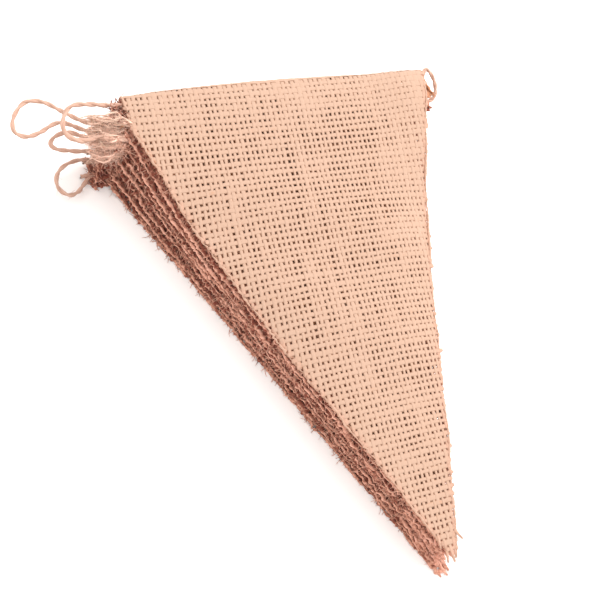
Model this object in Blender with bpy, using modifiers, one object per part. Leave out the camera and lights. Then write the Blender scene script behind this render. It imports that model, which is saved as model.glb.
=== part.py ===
import math
from collections import namedtuple

import bpy
from mathutils import Vector

# A burlap pennant bunting gathered into a stack. Eight triangular pennants lie on each other,
# header to header, and one jute twine zigzags through their folded hems and stands out in loops
# between them. +X runs along the headers, +Y from the tips to the headers, +Z up. Metres.

MM = 0.001

CLOTH = 1.0 * MM              # thickness of the burlap
TIP_WIDTH = 4 * MM            # the blunt, cut tip
HEM = 13 * MM                 # depth of the header's flap, folded under the face
CHANNEL = 2.0 * MM            # clear height inside the hem, where the twine runs
CHANNEL_DEPTH = 9.5 * MM      # from the fold to where the hem starts to close
SEAM_GAP = 0.35 * MM          # flap to face at the sewn line
CLEAR = 0.3 * MM              # between two pennants' hems

FOLD_RADIUS = (CHANNEL + CLOTH) / 2
HEM_PITCH = CHANNEL + 2 * CLOTH + CLEAR

# The layers' pitch: tight at the hems, falling evenly to the tips, where only one cloth counts.
TIP_PITCH = 2.3 * MM
HEM_ZONE_Y = 42 * MM          # the hems lie behind this line
TIP_Y = -138 * MM
FACE_SETTLES = 42 * MM        # distance from the fold where a face has come down on its own layer

# The stack's outline, for the droop that all layers share, the top one most.
STACK_LENGTH = 200 * MM
STACK_FOLD_Y = 66 * MM
STACK_LEAN = 5 * MM           # the headers lie this far left of the tips' line
STACK_HALF_WIDTH = 70 * MM
EDGE_DROOP = 3.0 * MM
DROOP_REACH = 1.25            # past this share of the half width an edge hangs no lower
NARROWEST = 0.25              # the outline counts as no narrower than this share of the header
DROOP_STARTS, DROOP_FULL = 0.1, 0.6

WAVE_SHARE = 0.30             # each cloth's slow waves, as a share of the free height of a layer
WAVE_LENGTH = 52 * MM
WAVE_SLANT = 0.6
BULGE_RISE = 0.7              # under 1 puts the fullest place of a rounded edge nearer to the header

# The top pennant's right header corner stands up a little, and its fold bows out in the middle.
CORNER_LIFT = 2.0 * MM
CORNER_X = (38 * MM, 62 * MM)
CORNER_Y = (20 * MM, 60 * MM)
HEADER_CROWN = 2.5 * MM
CROWN_FALLOFF = 4

COLUMNS = 10
FLAP_ROWS = 3
FOLD_ROWS = 5
FACE_ROWS = 16

# One row for each pennant, the top one first. The tip's place and the turn about it, in degrees
# seen from above, lay the pennant down. Taper narrows the hem's ends, flare lets the flap's ends
# stick out beyond them (both in mm per mm), bulge rounds the left cut edge, phase sets its waves,
# and run is how far from the fold the twine lies in the hem.
Pennant = namedtuple(
    "Pennant", "name layer width length tip_x tip_y turn left_taper right_taper flare bulge phase run"
)
PENNANTS = (
    Pennant("pennant_1", 7, 0.140, 0.200, 0.0000, -0.1330, 0.0, -0.05, 0.22, 0.28, 0.0024, 0.4, 0.0032),
    Pennant("pennant_2", 6, 0.141, 0.1965, 0.0005, -0.1315, 0.40, 0.00, 0.20, 0.30, 0.0018, 2.1, 0.0070),
    Pennant("pennant_3", 5, 0.142, 0.1955, 0.0005, -0.1320, 0.86, 0.10, 0.34, 0.22, 0.0014, 4.4, 0.0040),
    Pennant("pennant_4", 4, 0.139, 0.1955, 0.0000, -0.1310, 1.44, 0.12, 0.20, 0.25, 0.0009, 0.9, 0.0040),
    Pennant("pennant_5", 3, 0.140, 0.1970, 0.0005, -0.1315, 1.76, 0.15, 0.18, 0.15, 0.0005, 3.3, 0.0040),
    Pennant("pennant_6", 2, 0.141, 0.1970, 0.0000, -0.1310, 2.05, 0.25, 0.22, 0.22, 0.0000, 5.2, 0.0050),
    Pennant("pennant_7", 1, 0.139, 0.1990, 0.0010, -0.1340, 3.05, 0.30, 0.15, 0.20, -0.0005, 1.7, 0.0040),
    Pennant("pennant_8", 0, 0.140, 0.2020, 0.0020, -0.1370, 3.6, 0.36, 0.20, 0.12, -0.0010, 3.9, 0.0070),
)
TOP_LAYER = PENNANTS[0].layer

TWINE = 1.4 * MM
TWINE_INSIDE = 6 * MM         # a loop's ends count from this far inside the hems' mouths
TWINE_POINT_SPACING = 6.5 * MM

# The twine's loops from one pennant's hem to the next, in mm, from the top of the stack down.
# side says at which ends of the headers a loop stands.
Loop = namedtuple("Loop", "side points")
LOOPS = (
    Loop(-1, ((-76, 64.4, 32.4), (-83, 64.8, 33.2), (-89.5, 65.2, 33), (-93.3, 62.6, 32), (-95.2, 58, 30.6),
              (-93.6, 53.8, 29.2), (-89.5, 52, 28.3), (-83, 53.2, 27.9))),
    Loop(1, ((72.5, 63.5, 28.2), (74.3, 68.3, 30), (76.5, 71, 31), (79, 69.3, 30), (80.3, 65, 28.2),
             (79.6, 60.8, 26), (76.8, 58.6, 24))),
    Loop(-1, ((-76, 61.5, 23.5), (-84.3, 64, 23.6), (-91, 68.8, 24.2), (-98.5, 74, 25), (-105, 74.2, 25),
              (-110.5, 68.5, 24), (-111.3, 62.8, 23), (-107, 60.6, 21.9), (-100, 63.5, 20.9),
              (-92.7, 67.2, 20.1), (-84.5, 63.5, 19.4))),
    Loop(1, ((68.5, 65, 19.2), (72.5, 67.5, 19), (75.5, 65.5, 17.8), (75.5, 61, 16.3), (70.5, 59.6, 15.1))),
    Loop(-1, ((-83.5, 63, 15), (-89, 65.8, 15.2), (-94.5, 64.5, 14.8), (-96.8, 62, 13.8), (-94.5, 60.2, 12.4),
              (-89, 59.8, 10.9))),
    Loop(1, ((67.5, 65.8, 10.6), (71.5, 67.3, 10.2), (74, 64.5, 9), (73, 60.5, 7.6), (66.5, 59.8, 6.5))),
    Loop(-1, ((-83, 57.9, 6.5), (-88, 57.3, 7.0), (-93, 55, 7.3), (-96.3, 51, 6.6), (-96.4, 46.8, 5.4),
              (-93, 43.8, 4.2), (-88.5, 45.5, 3.0), (-84.5, 49.8, 2.2))),
)

# The stack's reference lies this far from the middle of its bounding box.
STACK_X = 15.48 * MM
STACK_Y = 31.14 * MM

BURLAP = ("burlap", (0.80, 0.56, 0.40, 1.0), 0.95)
JUTE = ("jute_twine", (0.74, 0.50, 0.36, 1.0), 0.9)


def smooth(start, end, value):
    """Rises softly from 0 at start to 1 at end."""
    share = min(1.0, max(0.0, (value - start) / (end - start)))
    return share * share * (3 - 2 * share)


def pitch(y):
    """Height of one layer at y."""
    share = min(1.0, max(0.0, (y - TIP_Y) / (HEM_ZONE_Y - TIP_Y)))
    return TIP_PITCH + (HEM_PITCH - TIP_PITCH) * share


def hem_rise(s):
    """Height of a face above its own flap's level, at the distance s from the fold."""
    closed = CLOTH + SEAM_GAP
    if s <= HEM:
        return 2 * FOLD_RADIUS - (2 * FOLD_RADIUS - closed) * smooth(CHANNEL_DEPTH, HEM, s)
    return closed * (1 - smooth(HEM, FACE_SETTLES, s))


def face_half_width(pennant, s, side):
    """Half the face's width at s; side is negative left of the middle line."""
    taper = pennant.left_taper if side < 0 else pennant.right_taper
    header = pennant.width / 2
    if s <= HEM:
        return header - taper * s
    down = (s - HEM) / (pennant.length - HEM)
    hem_end = header - taper * HEM
    bulge = pennant.bulge * math.sin(math.pi * down ** BULGE_RISE) if side < 0 else 0.0
    return hem_end + (TIP_WIDTH / 2 - hem_end) * down + bulge


def place(pennant, across, s):
    """Plan position of a point that lies across from the middle line, s from the fold."""
    turn = math.radians(pennant.turn)
    along = pennant.length - s
    if pennant.layer == TOP_LAYER:
        bow = 1 - (2 * across / pennant.width) ** 2
        along += HEADER_CROWN * bow * (along / pennant.length) ** CROWN_FALLOFF
    x = pennant.tip_x + across * math.cos(turn) - along * math.sin(turn)
    y = pennant.tip_y + across * math.sin(turn) + along * math.cos(turn)
    return x, y


def level(pennant, x, y):
    """Height of a pennant's own layer: the middle of its flap."""
    lift = 0.0
    if pennant.layer == TOP_LAYER:
        lift = CORNER_LIFT * smooth(*CORNER_X, x) * smooth(*CORNER_Y, y)
    return CLOTH / 2 + pennant.layer * pitch(y) + lift


def edge_droop(pennant, x, y):
    """How far a layer hangs at x, y: nothing along the stack's middle, the most past its sides."""
    width = (y - STACK_FOLD_Y) / STACK_LENGTH + 1
    side = max(NARROWEST, width) * STACK_HALF_WIDTH
    from_middle = min(DROOP_REACH, abs(x + STACK_LEAN * width) / side)
    return EDGE_DROOP * pennant.layer / TOP_LAYER * from_middle ** 3 * smooth(DROOP_STARTS, DROOP_FULL, width)


def face_point(pennant, u, s):
    """Point of the face; u runs from -1 at the left cut edge to 1 at the right one."""
    x, y = place(pennant, u * face_half_width(pennant, s, u), s)
    loose = 1 - smooth(0.0, HEM_ZONE_Y, y)
    height = level(pennant, x, y) + hem_rise(s) - edge_droop(pennant, x, y) * loose
    if pennant.layer > 0:
        free = pitch(y) - CLOTH - CLEAR - DROOP_REACH ** 3 * EDGE_DROOP / TOP_LAYER
        turns = (y + WAVE_SLANT * x) / WAVE_LENGTH
        height += WAVE_SHARE * free * loose * math.sin(2 * math.pi * turns + pennant.phase)
    return Vector((x, y, height))


def fold_point(pennant, u, angle):
    """Point of the fold; the angle is 0 where the face starts and pi where the flap starts."""
    s = FOLD_RADIUS * (1 - math.sin(angle))
    x, y = place(pennant, u * pennant.width / 2, s)
    return Vector((x, y, level(pennant, x, y) + FOLD_RADIUS * (1 + math.cos(angle))))


def flap_point(pennant, u, s):
    half_width = pennant.width / 2 + pennant.flare * (s - FOLD_RADIUS)
    x, y = place(pennant, u * half_width, s)
    return Vector((x, y, level(pennant, x, y)))


def section(pennant, u):
    """Points of the cloth from the flap's cut edge, round the fold and down the face to the tip."""
    points = []
    for i in range(FLAP_ROWS):
        points.append(flap_point(pennant, u, HEM - (HEM - FOLD_RADIUS) * i / FLAP_ROWS))
    for i in range(FOLD_ROWS + 1):
        points.append(fold_point(pennant, u, math.pi * (1 - i / FOLD_ROWS)))
    stations = [(FOLD_RADIUS + CHANNEL_DEPTH) / 2, CHANNEL_DEPTH, HEM, HEM + 4 * FOLD_RADIUS]
    rest = FACE_ROWS - len(stations)
    step = (pennant.length - stations[-1]) / rest
    stations += [stations[-1] + step * (i + 1) for i in range(rest)]
    return points + [face_point(pennant, u, s) for s in stations]


def channel_point(pennant, side, inside):
    """Point of the twine in the hem, at a distance inside the mouth at one side."""
    x, y = place(pennant, side * (pennant.width / 2 - inside), pennant.run)
    return Vector((x, y, level(pennant, x, y) + FOLD_RADIUS))


def spline(points, spacing):
    """Points of one smooth curve through the given ones, without its first and last span."""
    curve = []
    for a, b, c, d in zip(points, points[1:], points[2:], points[3:]):
        steps = max(1, round((c - b).length / spacing))
        for i in range(steps):
            t = i / steps
            curve.append(
                0.5 * (2 * b + (c - a) * t + (2 * a - 5 * b + 4 * c - d) * t ** 2
                       + (3 * b - a - 3 * c + d) * t ** 3)
            )
    return curve + [points[-2]]


def twine_route():
    """The twine from inside the top pennant's right mouth, hem by hem, to the bottom one's."""
    column = PENNANTS[0].width / COLUMNS
    route = [channel_point(PENNANTS[0], 1, count * column) for count in (1, 2, 3)]
    for i, loop in enumerate(LOOPS):
        above, below = PENNANTS[i], PENNANTS[i + 1]
        ends = [channel_point(above, loop.side, k * TWINE_INSIDE) for k in (4, 1, 0)]
        far_ends = [channel_point(below, loop.side, k * TWINE_INSIDE) for k in (0, 1, 4)]
        shape = [Vector(point) * MM for point in loop.points]
        route += spline(ends + shape + far_ends, TWINE_POINT_SPACING)
    route.append(channel_point(PENNANTS[-1], 1, TWINE_INSIDE))
    return route


def material(name, color, roughness):
    mat = bpy.data.materials.new(name)
    mat.use_nodes = True
    shader = mat.node_tree.nodes["Principled BSDF"]
    shader.inputs["Base Color"].default_value = color
    shader.inputs["Roughness"].default_value = roughness
    shader.inputs["Metallic"].default_value = 0.0
    return mat


def add_pennant(pennant, collection, mat):
    """One cut of burlap with its folded hem: a grid laid along the section, made solid."""
    rows = FLAP_ROWS + FOLD_ROWS + FACE_ROWS
    bpy.ops.mesh.primitive_grid_add(x_subdivisions=COLUMNS, y_subdivisions=rows, size=2)
    obj = bpy.context.object
    obj.name = pennant.name
    obj.data.name = pennant.name
    for old in obj.users_collection:
        old.objects.unlink(obj)
    collection.objects.link(obj)
    sections = [section(pennant, -1 + 2 * i / COLUMNS) for i in range(COLUMNS + 1)]
    for vertex in obj.data.vertices:
        column = round((vertex.co.x + 1) / 2 * COLUMNS)
        row = round((vertex.co.y + 1) / 2 * rows)
        vertex.co = sections[column][row]
    obj.location = (STACK_X, STACK_Y, 0)
    solid = obj.modifiers.new("cloth", "SOLIDIFY")
    solid.thickness = CLOTH
    solid.offset = 0
    solid.use_even_offset = True
    obj.data.materials.append(mat)


def add_twine(collection, mat):
    """The jute twine: one tube along its whole route."""
    curve = bpy.data.curves.new("twine", "CURVE")
    curve.dimensions = "3D"
    curve.bevel_depth = TWINE / 2
    curve.bevel_resolution = 2
    curve.use_fill_caps = True
    curve.render_resolution_u = 0
    route = twine_route()
    run = curve.splines.new("POLY")
    run.points.add(len(route) - 1)
    for point, position in zip(run.points, route):
        point.co = (*position, 1)
    curve.materials.append(mat)
    obj = bpy.data.objects.new("twine", curve)
    obj.location = (STACK_X, STACK_Y, 0)
    collection.objects.link(obj)
    length = sum((b - a).length for a, b in zip(route, route[1:]))
    print(f"twine: {len(route)} points, {length:.3f} m")


def main():
    for old in list(bpy.data.objects):
        bpy.data.objects.remove(old, do_unlink=True)
    bunting = bpy.data.collections.new("fabric_bunting")
    bpy.context.scene.collection.children.link(bunting)
    burlap = material(*BURLAP)
    for pennant in PENNANTS:
        add_pennant(pennant, bunting, burlap)
    add_twine(bunting, material(*JUTE))


main()
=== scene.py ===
# Fabric bunting: eight burlap pennants gathered into a flat stack and threaded on one jute twine.
import math

import bpy
import numpy as np
from mathutils import Matrix


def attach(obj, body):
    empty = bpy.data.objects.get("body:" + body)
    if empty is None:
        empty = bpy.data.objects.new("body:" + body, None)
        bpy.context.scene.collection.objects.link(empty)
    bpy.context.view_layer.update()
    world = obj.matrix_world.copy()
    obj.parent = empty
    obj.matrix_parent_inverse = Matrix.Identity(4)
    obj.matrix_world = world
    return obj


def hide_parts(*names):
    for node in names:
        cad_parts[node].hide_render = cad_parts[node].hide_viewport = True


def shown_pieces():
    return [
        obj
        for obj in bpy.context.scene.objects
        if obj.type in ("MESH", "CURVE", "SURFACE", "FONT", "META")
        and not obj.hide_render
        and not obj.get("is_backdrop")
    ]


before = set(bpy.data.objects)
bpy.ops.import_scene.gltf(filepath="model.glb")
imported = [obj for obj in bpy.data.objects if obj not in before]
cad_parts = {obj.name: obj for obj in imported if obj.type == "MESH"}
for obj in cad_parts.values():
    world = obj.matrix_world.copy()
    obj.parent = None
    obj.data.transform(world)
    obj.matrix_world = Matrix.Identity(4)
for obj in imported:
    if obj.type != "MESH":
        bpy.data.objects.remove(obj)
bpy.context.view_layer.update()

print("frame loaded:", len(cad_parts), "nodes")

mm = 0.001    # all lengths are in millimetres until a mesh is made
stackMiddle = np.array((15.48, 31.14, 0.0))    # the stack's reference, from the middle of its box


# Helpers

def linear(hexColour):
    # an sRGB hex colour as linear RGBA
    parts = [int(hexColour[i:i + 2], 16) / 255 for i in (1, 3, 5)]
    return tuple(c / 12.92 if c <= 0.04045 else ((c + 0.055) / 1.055) ** 2.4 for c in parts) + (1.0,)


def unit(vectors):
    return vectors / np.maximum(np.linalg.norm(vectors, axis=-1, keepdims=True), 1e-9)


def smooth(start, end, value):
    share = np.clip((value - start) / (end - start), 0, 1)
    return share * share * (3 - 2 * share)


def wander(rng, count, step, size):
    # a slow random run of values: a new one each step, between -size and size
    knots = rng.uniform(-1, 1, int(count / step) + 3)
    return size * np.interp(np.arange(count) / step, np.arange(len(knots)), knots)


def addNode(tree, kind, settings=None, links=None):
    # one node, its settings by socket or property name, and its links as {socket: (node, output)}
    node = tree.nodes.new(kind)
    for name, value in (settings or {}).items():
        if isinstance(name, int) or name in node.inputs:
            node.inputs[name].default_value = value
        else:
            setattr(node, name, value)
    for name, (source, output) in (links or {}).items():
        tree.links.new(source.outputs[output], node.inputs[name])
    return node


def calc(tree, operation, *inputs):
    # a math node from numbers and (node, output) pairs; gives its own (node, output)
    node = tree.nodes.new("ShaderNodeMath")
    node.operation = operation
    for k, value in enumerate(inputs):
        if isinstance(value, tuple):
            tree.links.new(value[0].outputs[value[1]], node.inputs[k])
        else:
            node.inputs[k].default_value = value
    return node, 0


def addRamp(tree, source, stops):
    # a colour ramp through (position, hex colour) stops
    node = addNode(tree, "ShaderNodeValToRGB", {}, {"Fac": source})
    elements = node.color_ramp.elements
    elements[0].position, elements[1].position = stops[0][0], stops[-1][0]
    elements[0].color, elements[1].color = linear(stops[0][1]), linear(stops[-1][1])
    for position, colour in stops[1:-1]:
        elements.new(position).color = linear(colour)
    return node, "Color"


def stand(thing, right, up, place):
    # places an object by its right and up directions
    back = np.cross(right, up)
    rows = [[right[i], up[i], back[i], place[i] * mm] for i in range(3)] + [[0, 0, 0, 1]]
    thing.matrix_world = Matrix(rows)
    bpy.context.scene.collection.objects.link(thing)


# Camera, lights and floor

cameraLook = {
    "place": (-177.9, -129.6, 336.5),
    "right": (0.8799, -0.3425, 0.3294),
    "up": (0.1661, 0.8712, 0.4620),
    "lens": 59.4,
    "sensor": 36.0,
    "clip": (10.0, 50000.0),
}

lightLook = {
    "keyPlace": (780.0, 330.0, 800.0),
    "keySize": 700.0,
    "keyPower": 10.4,
    "keyColour": "#FFFBF6",
    "roomColour": "#FFFDFB",
    "roomStrength": 1.53,
    "floorColour": "#FDFCFB",
    "floorHalf": 4000.0,
    "floorRoughness": 0.9,
    "floorGloss": 0.1,
}
# clean whites, as in a cut-out product picture
bpy.context.scene.view_settings.view_transform = "Standard"


def addCamera(look):
    data = bpy.data.cameras.new("camera")
    data.sensor_width = look["sensor"]
    data.lens = look["lens"]
    data.clip_start, data.clip_end = (distance * mm for distance in look["clip"])
    camera = bpy.data.objects.new("camera", data)
    stand(camera, look["right"], look["up"], look["place"])
    bpy.context.scene.camera = camera


def addLights(look):
    data = bpy.data.lights.new("keyLight", "AREA")
    data.shape = "DISK"
    data.size = look["keySize"] * mm
    data.energy = look["keyPower"]
    data.color = linear(look["keyColour"])[:3]
    lamp = bpy.data.objects.new("keyLight", data)
    back = unit(np.array(look["keyPlace"]))
    right = unit(np.cross((0, 1, 0), back))
    stand(lamp, right, np.cross(back, right), look["keyPlace"])
    room = bpy.data.worlds.new("paleRoom")
    bpy.context.scene.world = room
    room.use_nodes = True
    shade = room.node_tree.nodes["Background"]
    shade.inputs["Color"].default_value = linear(look["roomColour"])
    shade.inputs["Strength"].default_value = look["roomStrength"]


def addFloor(look):
    data = bpy.data.meshes.new("paleFloor")
    half = look["floorHalf"] * mm
    corners = [(-half, -half, 0), (half, -half, 0), (half, half, 0), (-half, half, 0)]
    data.from_pydata(corners, [], [(0, 1, 2, 3)])
    floor = bpy.data.objects.new("paleFloor", data)
    bpy.context.scene.collection.objects.link(floor)
    paint = bpy.data.materials.new("matt white studio paper")
    paint.use_nodes = True
    shader = paint.node_tree.nodes["Principled BSDF"]
    shader.inputs["Base Color"].default_value = linear(look["floorColour"])
    shader.inputs["Roughness"].default_value = look["floorRoughness"]
    shader.inputs["Specular IOR Level"].default_value = look["floorGloss"]
    data.materials.append(paint)
    floor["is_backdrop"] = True


addCamera(cameraLook)
addLights(lightLook)
addFloor(lightLook)
print("camera, lights and floor made")


# How the cloth lies

clothLook = {
    "thickness": 1.0,        # the burlap
    "tipWidth": 4.0,         # the blunt, cut tip
    "hem": 13.0,             # the flap folded under each header
    "channel": 2.0,          # clear height in the hem, where the twine runs
    "seamGap": 0.35,
    "clear": 0.3,            # between one cloth and the next
    "tipPitch": 2.3,         # height of one layer at the tips
    "hemZone": 42.0,         # where the stack is as high as its hems, and tipLine as low as its tips
    "tipLine": -138.0,
    "faceSettles": 42.0,
    "hemEase": (6.0, 24.0),  # the face comes down over this stretch, softer than the solid's seam
    "stackLength": 200.0,
    "stackFold": 66.0,
    "stackLean": 5.0,
    "stackHalf": 70.0,
    "droop": 3.0,            # how far the cut edges hang
    "droopReach": 1.25,
    "droopWidth": 0.25,
    "droopFades": (0.1, 0.6),
    "waveShare": 0.30,
    "waveLength": 52.0,
    "waveSlant": 0.6,
    "cornerLift": 2.0,       # of the top cloth, at its right header end
    "cornerX": (38.0, 62.0),
    "cornerY": (20.0, 60.0),
    "crown": 2.5,
    "bulgePlace": 0.7,
}

# Millimetres and degrees. The tapers are the left and right cut edges', the phase is the waves', and
# twineRun is the twine's distance from the fold. The top cloth is 0.8 mm longer than its solid, so
# that its fold covers the ones below.
rowNames = ("name", "layer", "width", "length", "tip", "turn", "tapers", "flare", "bulge", "phase",
            "twineRun")
pennantRows = [dict(zip(rowNames, row)) for row in (
    ("pennant_1", 7, 140, 200.8, (0.0, -133.0), 0.0, (-0.05, 0.22), 0.28, 2.4, 0.4, 4.0),
    ("pennant_2", 6, 141, 196.5, (0.5, -131.5), 0.4, (0.0, 0.2), 0.3, 1.8, 2.1, 7.0),
    ("pennant_3", 5, 142, 195.5, (0.5, -132.0), 0.86, (0.1, 0.34), 0.22, 1.4, 4.4, 4.0),
    ("pennant_4", 4, 139, 195.5, (0.0, -131.0), 1.44, (0.12, 0.2), 0.25, 0.9, 0.9, 4.0),
    ("pennant_5", 3, 140, 197, (0.5, -131.5), 1.76, (0.15, 0.18), 0.15, 0.5, 3.3, 4.0),
    ("pennant_6", 2, 141, 197, (0.0, -131.0), 2.05, (0.25, 0.22), 0.22, 0.0, 5.2, 5.0),
    ("pennant_7", 1, 139, 199, (1.0, -134.0), 3.05, (0.3, 0.15), 0.2, -0.5, 1.7, 4.0),
    ("pennant_8", 0, 140, 202, (2.0, -137.0), 3.6, (0.36, 0.2), 0.12, -1.0, 3.9, 7.0),
)]
topLayer = 7
foldRadius = (clothLook["channel"] + clothLook["thickness"]) / 2
foldRun = math.pi * foldRadius
hemPitch = clothLook["channel"] + 2 * clothLook["thickness"] + clothLook["clear"]
flapEnd = -foldRun - (clothLook["hem"] - foldRadius)


def pitchAt(y):
    share = np.clip((y - clothLook["tipLine"]) / (clothLook["hemZone"] - clothLook["tipLine"]), 0, 1)
    return clothLook["tipPitch"] + (hemPitch - clothLook["tipPitch"]) * share


def hemRise(s):
    # height of a face above its own flap's level, at the distance s from the fold
    closed = clothLook["thickness"] + clothLook["seamGap"]
    settled = closed * (1 - smooth(clothLook["hem"], clothLook["faceSettles"], s))
    return settled + (2 * foldRadius - closed) * (1 - smooth(*clothLook["hemEase"], s))


def crownOf(pennant, across, along):
    # the top pennant's fold bows out in the middle
    if pennant["layer"] != topLayer:
        return np.zeros_like(along)
    bow = 1 - (2 * across / pennant["width"]) ** 2
    return clothLook["crown"] * bow * (along / pennant["length"]) ** 4


def placeOf(pennant, across, s):
    # x and y of a place on the cloth, before the stack's shift to its middle
    turn = math.radians(pennant["turn"])
    along = pennant["length"] - s
    along = along + crownOf(pennant, across, along)
    x = pennant["tip"][0] + across * math.cos(turn) - along * math.sin(turn)
    y = pennant["tip"][1] + across * math.sin(turn) + along * math.cos(turn)
    return x, y


def levelOf(pennant, x, y):
    # height of the flap's middle
    lift = 0.0
    if pennant["layer"] == topLayer:
        lift = (clothLook["cornerLift"] * smooth(*clothLook["cornerX"], x)
                * smooth(*clothLook["cornerY"], y))
    return clothLook["thickness"] / 2 + pennant["layer"] * pitchAt(y) + lift


def droopOf(pennant, x, y):
    width = (y - clothLook["stackFold"]) / clothLook["stackLength"] + 1
    side = np.maximum(clothLook["droopWidth"], width) * clothLook["stackHalf"]
    share = np.minimum(clothLook["droopReach"], np.abs(x + clothLook["stackLean"] * width) / side)
    fades = smooth(*clothLook["droopFades"], width)
    return clothLook["droop"] * pennant["layer"] / topLayer * share ** 3 * fades


def clothPoints(pennant, across, t):
    # the cloth's middle surface: t runs from the fold (0) down the face, and below 0 back round the
    # fold into the flap
    angle = np.clip(-t / foldRadius, 0, math.pi)
    s = np.where(t >= 0, foldRadius + t,
                 np.where(t > -foldRun, foldRadius * (1 - np.sin(angle)), foldRadius - t - foldRun))
    x, y = placeOf(pennant, across, s)
    base = levelOf(pennant, x, y)
    loose = 1 - smooth(0, clothLook["hemZone"], y)
    face = base + hemRise(s) - droopOf(pennant, x, y) * loose
    if pennant["layer"] > 0:
        free = (pitchAt(y) - clothLook["thickness"] - clothLook["clear"]
                - clothLook["droopReach"] ** 3 * clothLook["droop"] / topLayer)
        turns = (y + clothLook["waveSlant"] * x) / clothLook["waveLength"]
        wave = np.sin(2 * math.pi * turns + pennant["phase"])
        face = face + clothLook["waveShare"] * free * loose * wave
    fold = base + foldRadius * (1 + np.cos(angle))
    z = np.where(t >= 0, face, np.where(t > -foldRun, fold, base))
    return np.stack([x, y, z], -1) + stackMiddle


def clothFrame(pennant, across, t):
    # place, across direction, direction down the face, and outward normal
    step = 0.05
    here = clothPoints(pennant, across, t)
    side = unit(clothPoints(pennant, across + step, t) - here)
    down = unit(clothPoints(pennant, across, t + step) - here)
    return here, side, down, unit(np.cross(down, side))


def reachOf(pennant, t, side):
    # half the cut's width at t, left (-1) or right (1) of its middle line
    taper = pennant["tapers"][0 if side < 0 else 1]
    half = pennant["width"] / 2
    s = foldRadius + t
    hem = clothLook["hem"]
    down = np.clip((s - hem) / (pennant["length"] - hem), 0, 1)
    hemEnd = half - taper * hem
    bulge = pennant["bulge"] * np.sin(math.pi * down ** clothLook["bulgePlace"]) if side < 0 else 0.0
    below = hemEnd + (clothLook["tipWidth"] / 2 - hemEnd) * down + bulge
    face = np.where(s <= hem, half - taper * s, below)
    flap = half + pennant["flare"] * np.maximum(0, -t - foldRun)
    return np.where(t >= 0, face, flap)


def edgeMargin(pennant, across, t):
    # how far in from the nearer cut edge
    return np.minimum(across + reachOf(pennant, t, -1), reachOf(pennant, t, 1) - across)


# Tubes to meshes

floorClear = {"ring": 0.02, "line": 0.05}


def tubeMesh(name, batches, finish):
    # batches of closed tubes as (centres, side, up, half widths, half heights, tones, painted fray
    # shades, sides)
    points, corners, starts, flat, tones, frayShades = [], [], [], [], [], []
    first, loop = 0, 0
    for centre, side, up, halfWidth, halfHeight, tone, frayShade, sides in batches:
        tubes, rings = centre.shape[:2]
        start = 0.5 if sides == 4 else 0.0    # puts a flat side on top
        angles = 2 * math.pi * (np.arange(sides) + start) / sides
        around, following = np.arange(sides), (np.arange(sides) + 1) % sides
        ring = (centre[:, :, None]
                + np.cos(angles)[:, None] * (side * halfWidth[..., None])[:, :, None]
                + np.sin(angles)[:, None] * (up * halfHeight[..., None])[:, :, None])
        ring[..., 2] = np.maximum(ring[..., 2], floorClear["ring"])
        points.append(ring.reshape(-1, 3))
        tone = tone if np.ndim(tone) == 2 else tone[:, None]
        tones.append(np.repeat(np.broadcast_to(tone, (tubes, rings)).reshape(-1), sides))
        frayShades.append(np.repeat(np.broadcast_to(frayShade, (tubes, rings)).reshape(-1), sides))
        steps = np.linalg.norm(np.diff(centre, axis=1), axis=-1)
        run = np.concatenate([np.zeros((tubes, 1)), np.cumsum(steps, 1)], 1)
        index = first + np.arange(tubes * rings * sides).reshape(tubes, rings, sides)
        quads = np.stack([index[:, :-1, around], index[:, :-1, following],
                          index[:, 1:, following], index[:, 1:, around]], -1).reshape(-1)
        u = (np.stack([around, around + 1, around + 1, around], -1) + start) / sides
        u = np.broadcast_to(u, (tubes, rings - 1, sides, 4))
        v = np.stack([run[:, :-1], run[:, :-1], run[:, 1:], run[:, 1:]], -1)
        v = np.broadcast_to(v[:, :, None], (tubes, rings - 1, sides, 4))
        capLow, capHigh = index[:, 0, ::-1].reshape(-1), index[:, -1].reshape(-1)
        capUv = np.zeros((len(capLow), 2))
        corners += [quads, capLow, capHigh]
        flat += [np.stack([u, v], -1).reshape(-1, 2), capUv, capUv]
        starts.append(loop + 4 * np.arange(len(quads) // 4))
        loop += len(quads)
        starts.append(loop + sides * np.arange(2 * tubes))
        loop += 2 * len(capLow)
        first += tubes * rings * sides
    points, corners, starts = np.concatenate(points), np.concatenate(corners), np.concatenate(starts)
    mesh = bpy.data.meshes.new(name)
    mesh.vertices.add(len(points))
    mesh.vertices.foreach_set("co", (points * mm).astype(np.float32).ravel())
    mesh.loops.add(len(corners))
    mesh.loops.foreach_set("vertex_index", corners.astype(np.int32))
    mesh.polygons.add(len(starts))
    mesh.polygons.foreach_set("loop_start", starts.astype(np.int32))
    mesh.update(calc_edges=True)
    layer = mesh.uv_layers.new(name="yarn")
    layer.data.foreach_set("uv", np.concatenate(flat).astype(np.float32).ravel())
    for label, values in (("tone", tones), ("frayShade", frayShades)):
        shade = mesh.attributes.new(label, "FLOAT", "POINT")
        shade.data.foreach_set("value", np.concatenate(values).astype(np.float32))
    mesh.shade_smooth()
    mesh.materials.append(finish)
    piece = bpy.data.objects.new(name, mesh)
    bpy.context.scene.collection.objects.link(piece)
    return piece


def lifted(line, high):
    # keeps a tube clear of the floor
    line[..., 2] = np.maximum(line[..., 2], high + floorClear["line"])
    return line


def framed(centre):
    # side and up directions across each tube of a batch of centre lines
    nearlyUp = (0.08, 0.11, 1.0)    # no tube runs exactly along it
    along = unit(np.gradient(centre, axis=1))
    side = unit(np.cross(nearlyUp, along))
    return side, np.cross(along, side)


# what all kinds of fibres have, unless their own look says otherwise
fibreLook = {
    "reach": (0.35, 1.0),    # shares of the full length
    "reachBias": 1.3,        # above 1: more short ones
    "curlChange": 0.6,       # from step to step, as a share of the curl
    "thickness": (0.6, 1.25),
    "tipThin": 0.4,
    "tones": (0.3, 1.0),
    "scatter": 0.12,         # of the roots
}


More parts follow.
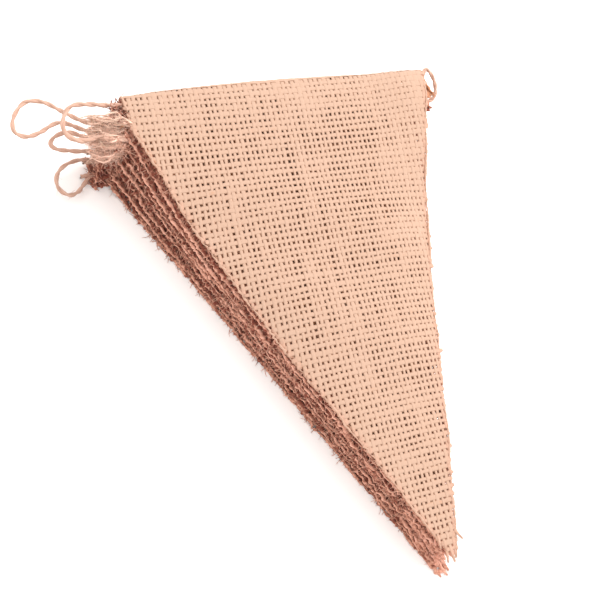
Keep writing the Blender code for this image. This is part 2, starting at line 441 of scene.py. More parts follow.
def fibreBatch(rng, roots, heads, count, kind):
    # fine fibres that start at the roots along the heads, and curl and sag on their way
    look = {**fibreLook, **kind}
    pick = np.repeat(np.arange(len(roots)), count)
    way = unit(heads[pick] + rng.normal(0, look["spread"], (len(pick), 3)))
    reach = look["length"] * rng.uniform(*look["reach"], len(pick)) ** look["reachBias"] / look["steps"]
    place = roots[pick] + rng.normal(0, look["scatter"], (len(pick), 3))
    line = [place]
    bend = rng.normal(0, look["curl"], (len(pick), 3))
    fall = np.array((0, 0, look["sag"]))
    for _ in range(look["steps"]):
        way = unit(way + bend + rng.normal(0, look["curl"] * look["curlChange"], way.shape) - fall)
        place = place + way * reach[:, None]
        line.append(place)
    centre = lifted(np.stack(line, 1), look["radius"])
    side, up = framed(centre)
    thin = look["radius"] * rng.uniform(*look["thickness"], len(pick))[:, None]
    thin = thin * np.linspace(1, look["tipThin"], look["steps"] + 1)
    tones = rng.uniform(*look["tones"], len(pick))
    return centre, side, up, thin, thin, tones, look["frayShade"], 3


# Materials

burlapLook = {
    "paleLit": "#FFDAC6",  # the matted header ends: pale, and made paler still as painted light against the shade among their strands
    "light": "#BA9B88",
    "middle": "#B69682",
    "dark": "#BF7D50",      # painted shade: the golden brown of the cloths below, seen through the gaps
    "sideShade": "#B4764C",       # painted shade, golden brown, on a yarn's sides and back
    # frayed colours: a redder, darker painted shade of the stack's shaded side and of the gaps between
    # its layers
    "frayShadeLight": "#D8A08C",
    "frayShadeMiddle": "#C08771",
    "frayShadeDark": "#86493A",
    "roughness": 0.92,
    "sheen": 0.12,
    "fleckSize": 9.0,       # mm, slow change of colour over the cloth
    "slubLength": 7.0,      # mm, streaks along a yarn
    "grainSize": 1.3,       # mm, light and dark specks of the frayed edges
    "twistPitch": 5.0,      # mm, one turn of a single jute yarn
    "bump": 0.3,
}

twineLook = {
    "paleLit": "#DDB8A6",
    # painted shade on the sides and back of the twine's plies
    "sideShade": "#A87E68",
    "light": "#CCA896",
    "middle": "#C09A88",
    "dark": "#A07868",
    # the same redder painted shade, for the twine's loose fibres
    "frayShadeLight": "#D0A08E",
    "frayShadeMiddle": "#BC8E7C",
    "frayShadeDark": "#A07060",
    "roughness": 0.9,
    "sheen": 0.2,
    "fleckSize": 5.0,
    "slubLength": 5.0,
    "grainSize": 1.3,
    "twistPitch": 4.0,
    "bump": 0.5,
}


# what both jute yarns have in common
yarnLook = {
    "gloss": 0.2,
    "sheenRoughness": 0.5,
    "streaks": (3.0, 4.0, 0.6),       # scale, detail and roughness of the streaks
    "toneShift": 40.0,                # so that no two yarns have the same streaks
    "shares": (0.45, 0.35, 0.25),     # of a yarn's own tone, its streaks and the cloth's patches
    "wovenStops": (0.22, 0.42, 0.78, 0.98),
    "frayShadeStops": (0.28, 0.5, 0.72),
    "grainShare": 1.3,
    "sideShadeFrom": (0.6, -0.1),           # painted shade on the sides and back: how far a yarn's surface turns from the viewer's side
    "sideShadeMost": 0.8,
    "unshadedTone": (1.0, 1.2),       # yarns of a higher tone get no painted side shade
    "fibreLines": 3,
    "lineHeight": 0.35,
    "bumpDepth": 0.15,
}


def yarnMaterial(name, look):
    # raw jute fibre has no gloss: a dry, dull surface whose colour changes from yarn to yarn.
    # A redder colour along the cut edges and in the gaps between the layers, darker further in, is
    # painted shade.
    finish = bpy.data.materials.new(name)
    finish.use_nodes = True
    tree = finish.node_tree
    shader = tree.nodes["Principled BSDF"]
    shader.inputs["Roughness"].default_value = look["roughness"]
    shader.inputs["Specular IOR Level"].default_value = yarnLook["gloss"]
    shader.inputs["Sheen Weight"].default_value = look["sheen"]
    shader.inputs["Sheen Roughness"].default_value = yarnLook["sheenRoughness"]
    place = addNode(tree, "ShaderNodeTexCoord")
    yarn = addNode(tree, "ShaderNodeUVMap", {"uv_map": "yarn"})
    split = addNode(tree, "ShaderNodeSeparateXYZ", {}, {0: (yarn, "UV")})
    tone = addNode(tree, "ShaderNodeAttribute", {"attribute_name": "tone"})
    frayShade = addNode(tree, "ShaderNodeAttribute", {"attribute_name": "frayShade"})

    # the cloth's own colour: streaks along each yarn, and slow patches over the cloth
    scale, detail, roughness = yarnLook["streaks"]
    along = addNode(tree, "ShaderNodeVectorMath",
                    {"operation": "MULTIPLY", 1: (scale, 1.0 / look["slubLength"], 1.0)},
                    {0: (yarn, "UV")})
    shift = addNode(tree, "ShaderNodeVectorMath",
                    {"operation": "SCALE", "Scale": yarnLook["toneShift"]}, {0: (tone, "Vector")})
    along = addNode(tree, "ShaderNodeVectorMath",
                    {"operation": "ADD"}, {0: (along, "Vector"), 1: (shift, "Vector")})
    streak = addNode(tree, "ShaderNodeTexNoise",
                     {"Scale": scale, "Detail": detail, "Roughness": roughness},
                     {"Vector": (along, "Vector")})
    patch = addNode(tree, "ShaderNodeTexNoise",
                    {"Scale": 1 / (look["fleckSize"] * mm), "Detail": 2.0},
                    {"Vector": (place, "Object")})
    ownShare, streakShare, patchShare = yarnLook["shares"]
    mixed = calc(tree, "MULTIPLY", (tone, "Fac"), ownShare)
    mixed = calc(tree, "MULTIPLY_ADD", (streak, "Fac"), streakShare, mixed)
    mixed = calc(tree, "MULTIPLY_ADD", (patch, "Fac"), patchShare, mixed)
    colours = [look[shade] for shade in ("dark", "middle", "light", "paleLit")]
    woven = addRamp(tree, mixed, list(zip(yarnLook["wovenStops"], colours)))

    # painted shade: each yarn is browner on its sides and back, apart from the palest ones
    facing = calc(tree, "SINE", calc(tree, "MULTIPLY", (split, "X"), 2 * math.pi))
    sideShading = addNode(tree, "ShaderNodeMapRange",
                   {"From Min": yarnLook["sideShadeFrom"][0], "From Max": yarnLook["sideShadeFrom"][1],
                    "To Min": 0.0, "To Max": yarnLook["sideShadeMost"]}, {"Value": facing})
    unpicked = addNode(tree, "ShaderNodeMapRange",
                       {"From Min": yarnLook["unshadedTone"][0], "From Max": yarnLook["unshadedTone"][1],
                        "To Min": 1.0, "To Max": 0.0}, {"Value": (tone, "Fac")})
    sideShading = calc(tree, "MULTIPLY", (sideShading, 0), (unpicked, 0))
    rounded = addNode(tree, "ShaderNodeMixRGB", {"Color2": linear(look["sideShade"])},
                      {"Fac": sideShading, "Color1": woven})

    # painted shade at the cut edges: redder, with light and dark specks
    grain = addNode(tree, "ShaderNodeTexNoise",
                    {"Scale": 1 / (look["grainSize"] * mm), "Detail": 3.0},
                    {"Vector": (place, "Object")})
    rough = calc(tree, "SUBTRACT", (grain, "Fac"), 0.5)
    rough = calc(tree, "MULTIPLY_ADD", rough, yarnLook["grainShare"], mixed)
    colours = [look[shade] for shade in ("frayShadeDark", "frayShadeMiddle", "frayShadeLight")]
    frayShadeRamp = addRamp(tree, rough, list(zip(yarnLook["frayShadeStops"], colours)))
    colour = addNode(tree, "ShaderNodeMixRGB", {},
                     {"Fac": (frayShade, "Fac"), "Color1": (rounded, "Color"), "Color2": frayShadeRamp})
    tree.links.new(colour.outputs["Color"], shader.inputs["Base Color"])

    # the twist's slanted fibre lines, drawn coarser than real ones so that they show
    slant = calc(tree, "MULTIPLY_ADD", (split, "Y"), 1.0 / look["twistPitch"], (split, "X"))
    lines = calc(tree, "SINE", calc(tree, "MULTIPLY", slant, 2 * math.pi * yarnLook["fibreLines"]))
    height = calc(tree, "MULTIPLY_ADD", lines, yarnLook["lineHeight"], (streak, "Fac"))
    bump = addNode(tree, "ShaderNodeBump",
                   {"Strength": look["bump"], "Distance": yarnLook["bumpDepth"] * mm},
                   {"Height": height})
    tree.links.new(bump.outputs["Normal"], shader.inputs["Normal"])
    return finish


burlap = yarnMaterial("raw jute burlap", burlapLook)
juteTwine = yarnMaterial("two-ply jute twine", twineLook)
print("materials made")


# Twine

twineLoops = [
    (-1, [(-76, 64.4, 32.4), (-83, 64.8, 33.2), (-89.5, 65.2, 33), (-93.3, 62.6, 32), (-95.2, 58, 30.6),
          (-93.6, 53.8, 29.2), (-89.5, 52, 28.3), (-83, 53.2, 27.9)]),
    (1, [(72.5, 63.5, 28.2), (74.3, 68.3, 30), (76.5, 71, 31), (79, 69.3, 30), (80.3, 65, 28.2),
         (79.6, 60.8, 26), (76.8, 58.6, 24)]),
    (-1, [(-76, 61.5, 23.5), (-84.3, 64, 23.6), (-91, 68.8, 24.2), (-98.5, 74, 25), (-105, 74.2, 25),
          (-110.5, 68.5, 24), (-111.3, 62.8, 23), (-107, 60.6, 21.9), (-100, 63.5, 20.9),
          (-92.7, 67.2, 20.1), (-84.5, 63.5, 19.4)]),
    (1, [(68.5, 65, 19.2), (72.5, 67.5, 19), (75.5, 65.5, 17.8), (75.5, 61, 16.3), (70.5, 59.6, 15.1)]),
    (-1, [(-83.5, 63, 15), (-89, 65.8, 15.2), (-94.5, 64.5, 14.8), (-96.8, 62, 13.8), (-94.5, 60.2, 12.4),
          (-89, 59.8, 10.9)]),
    (1, [(67.5, 65.8, 10.6), (71.5, 67.3, 10.2), (74, 64.5, 9), (73, 60.5, 7.6), (66.5, 59.8, 6.5)]),
    (-1, [(-83, 57.9, 6.5), (-88, 57.3, 7.0), (-93, 55, 7.3), (-96.3, 51, 6.6), (-96.4, 46.8, 5.4),
          (-93, 43.8, 4.2), (-88.5, 45.5, 3.0), (-84.5, 49.8, 2.2)]),
]

twineShape = {
    "diameter": 1.4,
    "inside": 6.0,          # a loop's ends count from this far inside the hems' mouths
    "holds": (4, 1, 0),     # and the hems hold the twine at these multiples of it
    "routeStep": 6.5,
    "ringStep": 1.1,
    "plyRadius": 0.64,
    "plyOffset": 0.34,
    "plySides": 8,
    "plyTones": (0.3, 0.7),
    "twist": 10.0,          # mm for one turn of the two plies
    "twistChange": (18, 0.5),               # rings from one change to the next, and its size
    "plyChanges": ((6, 0.12), (25, 0.12)),
    "fuzz": 1800,           # loose fibres
    "fuzzRoot": 0.7,
    "fuzzLean": 0.5,
    "seed": 21,
}

twineFuzz = {"length": 3.4, "steps": 4, "radius": 0.055, "spread": 0.25, "curl": 0.16, "sag": 0.02,
             "frayShade": 0.3}


def channelPoint(pennant, side, inside):
    # the middle of a hem's channel, this far in from its left (-1) or right (1) mouth
    across = np.array(side * (pennant["width"] / 2 - inside))
    x, y = placeOf(pennant, across, np.array(pennant["twineRun"]))
    return np.array((x, y, levelOf(pennant, x, y) + foldRadius))


def splinePoints(points, spacing):
    # points of one smooth curve through the given ones, without its first and last span
    curve = []
    for a, b, c, d in zip(points, points[1:], points[2:], points[3:]):
        steps = max(1, round(float(np.linalg.norm(c - b)) / spacing))
        for t in np.arange(steps) / steps:
            curve.append(0.5 * (2 * b + (c - a) * t + (2 * a - 5 * b + 4 * c - d) * t ** 2
                                + (3 * b - a - 3 * c + d) * t ** 3))
    return curve + [points[-2]]


def twineRoute():
    # from inside the top pennant's right mouth, hem by hem, to the bottom one's
    column = pennantRows[0]["width"] / 10
    route = [channelPoint(pennantRows[0], 1, count * column) for count in (1, 2, 3)]
    inside, holds = twineShape["inside"], twineShape["holds"]
    for i, (side, shape) in enumerate(twineLoops):
        ends = [channelPoint(pennantRows[i], side, k * inside) for k in holds]
        farEnds = [channelPoint(pennantRows[i + 1], side, k * inside) for k in reversed(holds)]
        points = ends + [np.array(point, float) for point in shape] + farEnds
        route += splinePoints(points, twineShape["routeStep"])
    route.append(channelPoint(pennantRows[-1], 1, inside))
    return [point + stackMiddle for point in route]


def addTwine(look):
    route = twineRoute()
    rounded = [2 * route[0] - route[1]] + route + [2 * route[-1] - route[-2]]
    fine = np.array(splinePoints(rounded, look["ringStep"]))
    centre = fine[None]
    side, up = framed(centre)
    run = np.concatenate([[0], np.cumsum(np.linalg.norm(np.diff(fine, axis=0), axis=1))])
    rng = np.random.default_rng(look["seed"])
    batches = []
    for ply, tone in enumerate(look["plyTones"]):
        turn = (2 * math.pi * run / look["twist"] + math.pi * ply
                + wander(rng, len(run), *look["twistChange"]))
        offset = look["plyOffset"] * (np.cos(turn)[:, None] * side[0] + np.sin(turn)[:, None] * up[0])
        change = sum(wander(rng, len(run), *sizes) for sizes in look["plyChanges"])
        radius = look["plyRadius"] * (1 + change)
        line = (fine + offset)[None]
        plySide, plyUp = framed(line)
        batches.append((line, plySide, plyUp, radius[None], radius[None],
                        np.array([tone]), 0.0, look["plySides"]))
    twine = tubeMesh("twine", batches, juteTwine)
    spots = rng.integers(1, len(fine) - 1, look["fuzz"])
    spin = rng.uniform(0, 2 * math.pi, look["fuzz"])
    out = np.cos(spin)[:, None] * side[0][spots] + np.sin(spin)[:, None] * up[0][spots]
    along = unit(np.gradient(fine, axis=0))[spots] * rng.choice((-1, 1), look["fuzz"])[:, None]
    roots, heads = fine[spots] + look["fuzzRoot"] * out, unit(along + look["fuzzLean"] * out)
    fuzz = fibreBatch(rng, roots, heads, 1, twineFuzz)
    hairs = tubeMesh("twine_fibres", [fuzz], juteTwine)
    for piece in (twine, hairs):
        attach(piece, "root")
    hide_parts("twine")
    print("twine laid:", round(run[-1]), "mm")


addTwine(twineShape)


# Burlap pennants

# The lattice of each cloth: across and along (from the tip) of warp i and weft j, in mm, with the
# slow bend of a loosely woven cloth: (start, per i, per j, i*i, i*j, j*j).
topLattice = ((-18.323, 2.1408, -0.2664, 0.00059, -0.00272, 0.00036),
              (125.073, -0.0276, -2.6634, 0.0, -0.00069, 0.00317))
hiddenLattice = ((0.0, 2.155, 0.0, 0.0004, 0.0, 0.0004), (124.0, 0.0, -2.66, 0.0, 0.0, 0.0028))
hiddenSpread = ((0, 2, 0.28), (1, 1, 0.05), (0, 0, 2.0), (0, 4, 0.002), (1, 0, 1.3))    # row, term, most

weaveLook = {
    "warpHalf": 0.765,       # half a warp yarn's width
    "weftHalf": 0.91,
    "yarnHeight": 0.17,      # half a yarn's thickness, pressed flat
    "swing": 0.05,           # how far a yarn goes over and under the cloth's middle
    "shift": (7, 0.2, 0.07), # how a yarn wanders sideways: crossings, size, and each yarn's own
    "widthChange": (4, 0.24, 0.06),
    "widthLimits": (0.66, 1.35),
    "slubChance": 0.5,       # in slubSpan crossings
    "slubSpan": 60,
    "slubSwell": (0.25, 0.65),
    "slubReach": (3, 9),
    "headerPress": 0.30,     # how much wider the yarns are pressed at the header
    "headerZone": (2, 24),
    "foldPress": (0.4, -0.55),    # at the fold: warps that go round it, wefts along it
    "foldReach": 3.5,
    "rightPress": 0.34,      # and along the right cut edge, in its upper part
    "rightZone": (4, 34),
    "rightFades": (50, 130),
    "yarns": (-50, 58),      # numbers of the yarns that are tried, and of those that they cross
    "warpSpan": (-38, 56),
    "weftSpan": (-52, 60),
    "crossingRings": 0.25,   # a yarn's rings lie this share of a step before and after a crossing
    "deep": (5.5, 11, 20),   # mm from a cut edge, the fold and the tip: fewer rings further in
    "fringe": 2.4,           # cut ends shorter than this have dropped out of the edge
    "warpSpare": (0.2, 0.8), # the cut ends run on past the last crossing
    "weftSpare": (0.2, 1.1),
    "tipSpare": (1.5, 4.2),  # and the warps' at the tip
    "tipZone": 12,
    "endTurn": 0.2,
    "endWidth": 0.6,
    "floorRoom": 0.3,
    "squareWidth": 1.25,     # four-sided tubes are wider, to look as wide as round ones
    "frayShadeReach": (2.2, 9.0), # mm, how far in from a cut edge the cloth gets redder painted shade: top, others
    "frayShadeCore": 0.3,
    "frayShadeMost": (0.25, 1.0),
    # painted shade on the flap, this far in from its cut edges, and its darker tone
    "flapShade": 8,
    "toneRange": (0.35, 0.65),
    "hiddenShade": (0.5, 7, 14),   # painted shade of the cloths below: how much darker, and from where to where down the face
    "flapShadeTone": -0.1,
    "tipTone": (0.8, -24, -5),
    "seed": 100,
}


def latticeOf(number, rng):
    if number == 0:
        return topLattice
    lattice = [list(row) for row in hiddenLattice]
    for row, term, most in hiddenSpread:
        lattice[row][term] += rng.uniform(-most, most)
    return lattice


def latticePoint(lattice, i, j):
    terms = (1.0, i, j, i * i, i * j, j * j)
    return [sum(k * term for k, term in zip(row, terms)) for row in lattice]


def yarnPlaces(lattice, isWarp, number, at):
    # across and along of one yarn where it meets the crossing ones
    own = np.full(len(at), float(number))
    return latticePoint(lattice, own, at) if isWarp else latticePoint(lattice, at, own)


def slubs(rng, count):
    # a thick place or two in a hand-spun yarn
    places, swell = np.arange(count), np.zeros(count)
    for _ in range(rng.poisson(weaveLook["slubChance"] * count / weaveLook["slubSpan"])):
        size, middle = rng.uniform(*weaveLook["slubSwell"]), rng.uniform(0, count)
        swell += size * np.exp(-((places - middle) / rng.uniform(*weaveLook["slubReach"])) ** 2)
    return swell


def yarnPath(pennant, lattice, isWarp, number, at, rng):
    # cloth coordinates of a yarn's middle, its half width and its side of the cloth along its way
    step, size, own = weaveLook["shift"]
    shift = wander(rng, len(at), step, size) + rng.normal(0, own)
    across, along = yarnPlaces(lattice, isWarp, number, at)
    if isWarp:
        across = across + shift
    else:
        along = along + shift
    crown = crownOf(pennant, across, np.minimum(along, pennant["length"]))
    t = pennant["length"] - foldRadius - along + crown
    half = weaveLook["warpHalf"] if isWarp else weaveLook["weftHalf"]
    step, size, own = weaveLook["widthChange"]
    change = 1 + rng.normal(0, own) + wander(rng, len(at), step, size) + slubs(rng, len(at))
    foldPress = weaveLook["foldPress"][0 if isWarp else 1]
    nearRight = 1 - smooth(*weaveLook["rightZone"], reachOf(pennant, t, 1) - across)
    pressed = (1 + weaveLook["headerPress"] * (1 - smooth(*weaveLook["headerZone"], t))
               + foldPress * np.exp(-((t + foldRun / 2) / weaveLook["foldReach"]) ** 2)
               + weaveLook["rightPress"] * nearRight * (1 - smooth(*weaveLook["rightFades"], t)))
    crossing = np.round(at).astype(int)
    over = np.where((crossing + number + (0 if isWarp else 1)) % 2 == 0, 1.0, -1.0)
    return across, t, half * np.clip(change, *weaveLook["widthLimits"]) * pressed, over


def ringPlaces(low, high, pennant, lattice, isWarp, number, fine):
    # two rings at each crossing, but one at every second crossing deep inside the hidden cloths
    crossings = np.arange(low, high, dtype=float)
    aside = weaveLook["crossingRings"]
    if fine:
        return np.sort(np.concatenate([crossings - aside, crossings + aside]))
    across, along = yarnPlaces(lattice, isWarp, number, crossings)
    t = pennant["length"] - foldRadius - along
    fromEdge, fromFold, fromTip = weaveLook["deep"]
    deep = ((edgeMargin(pennant, across, t) > fromEdge)
            & (t > fromFold) & (t < pennant["length"] - fromTip))
    sparse = deep & (crossings % 2 == 0) if pennant["layer"] < topLayer - 1 else deep
    near = crossings[~deep]
    return np.sort(np.concatenate([crossings[sparse], near - aside, near + aside]))


def withEnds(values):
    # for the whole yarn: the values of the first and last crossing once more, for its cut ends
    return np.concatenate([values[:1], values, values[-1:]])


def weavePennant(pennant, number, sides, fine):
    # every warp and weft of one cloth as a tube over and under the others, with its cut ends
    look = weaveLook
    rng = np.random.default_rng(look["seed"] + number)
    lattice = latticeOf(number, rng)
    yarns, ends = {True: [], False: []}, []
    lastT = pennant["length"] - foldRadius
    hidden = 0 if number == 0 else 1
    for isWarp in (True, False):
        for yarn in range(*look["yarns"]):
            span = look["warpSpan"] if isWarp else look["weftSpan"]
            at = ringPlaces(*span, pennant, lattice, isWarp, yarn, fine)
            across, t, half, over = yarnPath(pennant, lattice, isWarp, yarn, at, rng)
            held = np.nonzero((edgeMargin(pennant, across, t) > 0) & (t > flapEnd) & (t < lastT))[0]
            if len(held) < 3:
                continue
            held = slice(held[0], held[-1] + 1)
            across, t, half, over = across[held], t[held], half[held], over[held]
            if isWarp and abs(t[-1] - t[0]) < look["fringe"] * 2:
                continue
            here, side, down, normal = clothFrame(pennant, across, t)
            centre = here + normal * (over * look["swing"])[:, None]
            # the cut ends run on a little past the last crossing and thin out
            spare = rng.uniform(*look["warpSpare" if isWarp else "weftSpare"], 2)
            if isWarp and t[-1] > lastT - look["tipZone"]:
                spare[1] = rng.uniform(*look["tipSpare"])
            first, last = unit(centre[0] - centre[1]), unit(centre[-1] - centre[-2])
            loose = rng.normal(0, look["endTurn"], (2, 3))
            head = centre[0] + (first + loose[0]) * spare[0]
            tail = centre[-1] + (last + loose[1]) * spare[1]
            line = lifted(np.concatenate([[head], centre, [tail]]), look["floorRoom"])
            wide = np.concatenate([[half[0] * look["endWidth"]], half, [half[-1] * look["endWidth"]]])
            wide = wide * (look["squareWidth"] if sides == 4 else 1.0)
            high = np.full(len(wide), look["yarnHeight"])
            # the top cloth's face is even in colour; on the cloths below, redder and darker colour
            # towards their cut edges is painted shade
            margin = np.minimum(edgeMargin(pennant, across, t), lastT - t)
            onFlap = (t < -foldRun) & (margin < look["flapShade"])
            reach = look["frayShadeReach"][hidden]
            frayShade = 1 - smooth(look["frayShadeCore"] * reach, reach, margin)
            frayShade = np.where(onFlap, 1, frayShade) * look["frayShadeMost"][hidden]
            tone = np.full(len(t), rng.uniform(*look["toneRange"]))
            if hidden:
                # painted shade: darker and golden on the cloths below, apart from the hems that show at
                # the back
                darker, start, end = look["hiddenShade"]
                tone = tone - darker * smooth(start, end, t)
                lighter, start, end = look["tipTone"]
                tone = np.where(onFlap, look["flapShadeTone"], tone) + lighter * smooth(start, end, t - lastT)
            cross = withEnds(side if isWarp else -down)
            yarns[isWarp].append((line[None], cross[None], withEnds(normal)[None], wide[None],
                                  high[None], withEnds(tone)[None], withEnds(frayShade)[None], sides))
            cut = [(head, first), (tail, last)]
            ends += reversed(cut) if isWarp else cut
    return yarns[True], yarns[False], ends


edgeLook = {
    "ridgeStep": 0.75,
    "ridgePeriod": 3.1,      # mm, over one weft end and under the next
    "ridgeRadius": (0.42, 0.57),    # matted fibres along each cut edge: top pennant, the others
    "ridgeWave": (0.2, 0.5),
    "ridgeJitter": (0.05, 0.16),    # small knobs, as of tangled fibres
    # redder painted shade of the ridges: top pennant, the others
    "ridgeFrayShade": (0.15, 0.9),
    "ridgeSwell": 0.22,
    "ridgeLimits": (0.4, 1.7),
    "ridgeTurn": 0.35,
    "ridgeSink": 0.6,        # of the inner ridge, as a share of its inset
    # slow changes along a ridge: rings from one to the next, and size
    "ridgeChanges": {"period": (9, 0.5), "turn": (7, 0.6), "knots": (2, 0.4), "out": (9, 0.5),
                     "height": (14, 0.4), "radius": (5, 0.7)},
    "ridges": ((0.0, 0.35, 0.9), (0.9, 0.0, 0.5)),    # inset, lowest and highest tone
    "ridgeSides": 6,
    "hanging": 110,          # threads that hang from the left edge over the edges below
    "hangingFrom": (8, 18),  # mm from the fold and from the tip
    "fibresPerEnd": 2,
    "seed": 500,
}

edgeFibres = {"length": 1.7, "steps": 3, "radius": 0.09, "spread": 0.45, "curl": 0.25, "sag": 0.08,
              "frayShade": 0.7}
topFibres = {**edgeFibres, "length": 1.5, "radius": 0.08, "frayShade": 0.2}
hangingThreads = {**edgeFibres, "length": 4.8, "steps": 5, "radius": 0.17, "spread": 0.25, "curl": 0.14,
                  "sag": 0.2}
matFibres = {"length": 4.5, "steps": 4, "radius": 0.06, "spread": 0.9, "curl": 0.45, "sag": 0.04,
             "frayShade": 0.0, "tones": (1.2, 1.7), "scatter": 0.7}
# painted shade: dark, red curled ends for the shade inside the hems' open mouths
curledEnds = {"length": 5.5, "steps": 6, "radius": 0.3, "spread": 0.5, "curl": 0.5, "sag": 0.03,
              "frayShade": 1.0, "tones": (-0.2, 0.7)}

# The corner of each upper header, left of its hem, has come undone: its yarns lie matted in soft
# rolls together with the twine. Each roll is (start, end, half width, half height) in the stack's frame.
matLook = {
    "strands": 16,
    "rings": 10,
    "strandRadius": 0.45,
    "strandSides": 5,
    "strandTones": (1.0, 1.6),
    "begins": (0.0, 0.3),    # shares of the roll's length
    "reaches": (0.45, 1.05),
    "drift": 1.6,
    "bow": 1.0,
    "waviness": 0.8,
    "coreFull": (0.85, 0.75, 0.2),    # the core's thickness at its start, further on and at its end
    "coreLength": 0.85,
    "coreTone": 1.3,
    # a little redder painted shade on the core
    "coreFrayShade": 0.3,
    "coreSides": 8,
    "fibres": 4,
    "frayShades": (0.0, 0.25),    # redder painted shade: the two upper cloths' rolls, and the others'
    "fluff": 60,             # short curled ends in an open hem's mouth
    "fluffPlace": (-16, -5),
    "topFluff": 260,         # and in the top pennant's, which gapes
    "topMouth": ((-75, -69), (56.5, 65.5), (30.2, 31.8)),
}
matRolls = {
    0: [((-66, 54.5, 31.8), (-88.5, 61.8, 30), 2.2, 1.1)],
    1: [((-67, 54.5, 27.7), (-88, 58.5, 28), 2.6, 1.3),
        ((-67, 51.5, 27.4), (-86.5, 54.8, 26.8), 2.4, 1.4)],
    2: [((-68, 57, 23.4), (-88, 57.5, 25), 2.6, 1.5),
        ((-68, 51.5, 23.2), (-87, 53.5, 24), 2.6, 1.5)],
    3: [((-69, 56, 19.1), (-86.5, 56, 21), 2.4, 1.5),
        ((-69, 51, 18.9), (-85.5, 51.5, 20.5), 2.4, 1.5)],
    4: [((-70, 54, 14.8), (-85.5, 53, 16.5), 2.2, 1.4)],
}

# long stray yarns that hang from the second header's corner over the edges below it
strayYarns = {"length": 9.5, "steps": 8, "radius": 0.15, "spread": 0.6, "curl": 0.3, "sag": 0.02,
              "frayShade": 0.5, "tones": (0.8, 1.3), "scatter": 0.3, "count": 30, "head": (-0.5, -1.0, 0.1),
              "roots": ((-80, -72), (43, 53), (27.6, 29.4))}


def scattered(rng, spans, count):
    # places in a box of the stack's frame
    return np.stack([rng.uniform(*span, count) for span in spans], -1) + stackMiddle


def cutRidge(pennant, number, side, inset, tones, rng):
    # matted fibres that run along a cut edge, over one weft end and under the next
    look, hidden = edgeLook, 0 if number == 0 else 1
    t = np.arange(flapEnd, pennant["length"] - foldRadius, look["ridgeStep"])

    def change(name):
        return wander(rng, len(t), *look["ridgeChanges"][name])

    period = look["ridgePeriod"] * (1 + change("period"))
    turn = np.sin(np.cumsum(2 * math.pi * look["ridgeStep"] / period) + rng.uniform(0, 6))
    turn = turn * (look["ridgeTurn"] + change("turn")) + change("knots")
    out = change("out") - look["ridgeTurn"] * turn - inset
    here, sideways, _, normal = clothFrame(pennant, side * (reachOf(pennant, t, side) + out), t)
    rise = look["ridgeWave"][hidden] * turn + change("height") - look["ridgeSink"] * inset
    centre = here + normal * rise[:, None]
    radius = 1 + change("radius") + rng.normal(0, look["ridgeSwell"], len(t))
    radius = look["ridgeRadius"][hidden] * np.clip(radius, *look["ridgeLimits"])
    centre = lifted(centre + rng.normal(0, look["ridgeJitter"][hidden], centre.shape), radius)
    return (centre[None], sideways[None], normal[None], radius[None], radius[None] * 0.8,
            rng.uniform(*tones, 1), look["ridgeFrayShade"][hidden], look["ridgeSides"])


def strandBatch(lines, tones, frayShade, rng):
    # soft yarns along the given lines, uneven and thinner to their ends
    side, up = framed(lines)
    count, rings = lines.shape[:2]
    radius = matLook["strandRadius"]
    wide = radius * rng.uniform(0.75, 1.25, (count, 1)) * rng.uniform(0.85, 1.15, (count, rings))
    wide = wide * np.interp(np.linspace(0, 1, rings), (0, 0.6, 1), (1, 1, 0.2))
    return lifted(lines, radius), side, up, wide, wide * 0.8, tones, frayShade, matLook["strandSides"]


def mattedRoll(roll, frayShade, rng):
    # one roll of loose yarns, laid side by side through an oval section that drifts along the way
    start, end, halfWidth, halfHeight = roll
    start, end = np.array(start) + stackMiddle, np.array(end) + stackMiddle
    look, count = matLook, matLook["strands"]
    share = np.linspace(0, 1, look["rings"])
    begin, reach = rng.uniform(*look["begins"], (count, 1)), rng.uniform(*look["reaches"], (count, 1))
    centre = start + (end - start) * (begin + share * (reach - begin))[..., None]
    sideways = unit(np.cross((0, 0, 1), end - start))
    around = rng.uniform(0, 2 * math.pi, count)[:, None]
    around = around + rng.normal(0, look["drift"], (count, 1)) * share
    # narrow where it leaves the hem, then full, and drawn together at its end
    full = 0.5 + 0.6 * smooth(0.1, 0.5, share) - 0.3 * share ** 3
    out = np.sqrt(rng.uniform(0.05, 1, count))[:, None] * full
    bow = np.sin(math.pi * share)[:, None] * rng.normal(0, look["bow"], (count, 1, 3))
    waves = rng.normal(0, look["waviness"], (count, len(share), 3))
    bow = bow + (waves + np.roll(waves, 1, 1)) / 2
    lines = (centre + (out * np.cos(around) * halfWidth)[..., None] * sideways
             + (out * np.sin(around) * halfHeight)[..., None] * np.array((0, 0, 1)) + bow)
    yarns = strandBatch(lines, rng.uniform(*look["strandTones"], count), frayShade, rng)
    # a matted core shows warm between the loose yarns
    middle = (start + (end - start) * (look["coreLength"] * share)[:, None])[None]
    side, up = framed(middle)
    full = np.interp(share, (0, 0.6, 1), look["coreFull"])[None]
    core = (middle, side, up, full * halfWidth, full * halfHeight,
            np.array([look["coreTone"]]), look["coreFrayShade"], look["coreSides"])
    roots = lines[:, 1:-1].reshape(-1, 3)
    heads = unit(np.gradient(lines, axis=1))[:, 1:-1].reshape(-1, 3)
    return [core, yarns, fibreBatch(rng, roots, heads, look["fibres"], matFibres)]


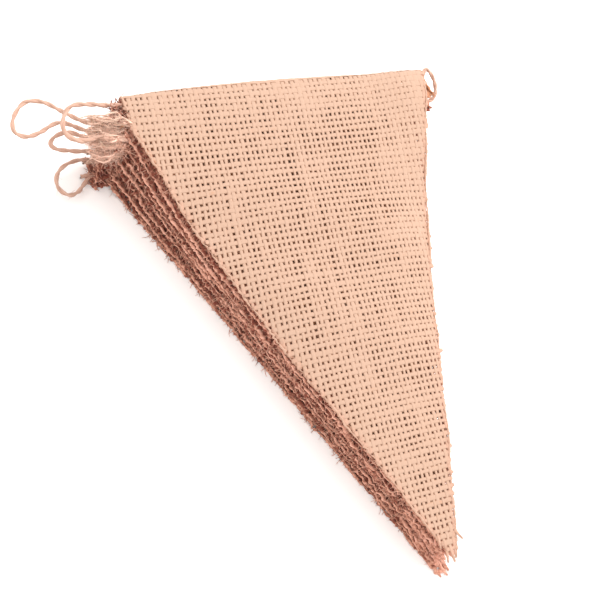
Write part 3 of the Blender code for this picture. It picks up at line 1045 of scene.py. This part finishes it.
def mouthFluff(pennant, rng):
    # curled yarn ends that fill the open left mouth of a hem, coloured dark and red as painted shade
    if pennant["layer"] == topLayer:
        count = matLook["topFluff"]
        roots = scattered(rng, matLook["topMouth"], count)
    else:
        count = matLook["fluff"]
        t = rng.uniform(*matLook["fluffPlace"], count)
        roots = clothPoints(pennant, -reachOf(pennant, t, -1) + 1.0, t)
    aside, rise = rng.normal(0, 0.35, count), rng.normal(-0.15, 0.2, count)
    heads = unit(np.stack([-np.ones(count), aside, rise], -1))
    return fibreBatch(rng, roots, heads, 1, curledEnds)


def hangingBatch(pennant, rng):
    # loose threads along the left cut edge that have dropped over the edges below
    fromFold, fromTip = edgeLook["hangingFrom"]
    t = rng.uniform(fromFold, pennant["length"] - fromTip, edgeLook["hanging"])
    here, side, down, _ = clothFrame(pennant, -reachOf(pennant, t, -1), t)
    heads = unit(-0.35 * side + rng.normal(0.3, 0.7, (len(t), 1)) * down - np.array((0, 0, 0.4)))
    return fibreBatch(rng, here, heads, 1, hangingThreads)


def addPennant(pennant, number):
    top = number == 0
    # the top cloth is woven of finer tubes than the hidden ones
    warps, wefts, ends = weavePennant(pennant, number, 6 if top else 4, fine=top)
    cloth = tubeMesh(pennant["name"], wefts, burlap)
    warp = tubeMesh(pennant["name"] + "_warp", warps, burlap)
    rng = np.random.default_rng(edgeLook["seed"] + number)
    roots, heads = (np.array(part) for part in zip(*ends))
    edge = [fibreBatch(rng, roots, heads, edgeLook["fibresPerEnd"], topFibres if top else edgeFibres),
            hangingBatch(pennant, rng)]
    for inset, *tones in edgeLook["ridges"]:
        edge += [cutRidge(pennant, number, side, inset, tones, rng) for side in (-1, 1)]
    for roll in matRolls.get(number, []):
        edge += mattedRoll(roll, matLook["frayShades"][0 if number < 2 else 1], rng)
    edge.append(mouthFluff(pennant, rng))
    if number == 1:
        roots = scattered(rng, strayYarns["roots"], strayYarns["count"])
        edge.append(fibreBatch(rng, roots, np.tile(strayYarns["head"], (len(roots), 1)), 1, strayYarns))
    fringe = tubeMesh(pennant["name"] + "_frayed_edge", edge, burlap)
    for piece in (cloth, warp, fringe):
        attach(piece, "root")
    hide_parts(pennant["name"])
    return cloth, warp, fringe


cloths = [addPennant(pennant, number) for number, pennant in enumerate(pennantRows)]
print("pennants woven")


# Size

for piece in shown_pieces():
    if piece.type == "MESH":
        piece.data.calc_loop_triangles()
        print("  ", piece.name, len(piece.data.loop_triangles), "triangles")
